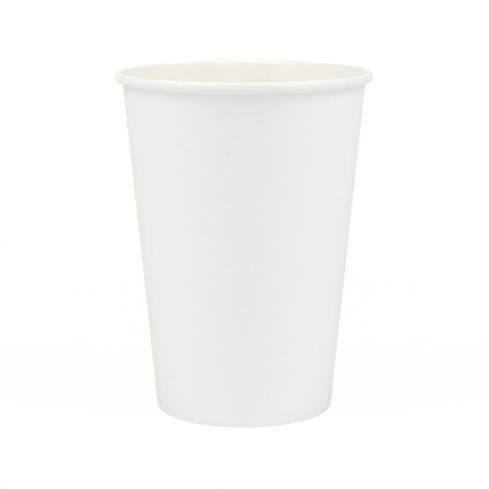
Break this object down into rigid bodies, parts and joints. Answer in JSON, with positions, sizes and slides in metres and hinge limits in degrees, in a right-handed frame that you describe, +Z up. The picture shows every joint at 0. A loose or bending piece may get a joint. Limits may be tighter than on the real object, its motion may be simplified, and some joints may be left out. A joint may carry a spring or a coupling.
{
  "type": "paper coffee cup",
  "caption": "Plain white disposable paper cup for hot drinks: tapered wall with a lapped side seam, a rim rolled outwards and a recessed bottom disc gripped in a folded foot.",
  "frame": {"origin": "centre of the foot on the surface that the cup stands on", "axes": "+Z up along the cup's axis, -Y towards the picture's viewer, with the side seam on the back, 14 degrees from +Y towards +X"},
  "size_m": [0.0799, 0.0801, 0.1067],
  "materials": {
    "wall_paper": "matte white cup board, uncoated outside and with a thin satin coating inside",
    "disc_paper": "white cup board with a thin satin coating on its upper face"
  },
  "bodies": {
    "root": {"sidewall": "wall_paper", "bottom_disc": "disc_paper"}
  },
  "joints": []
}
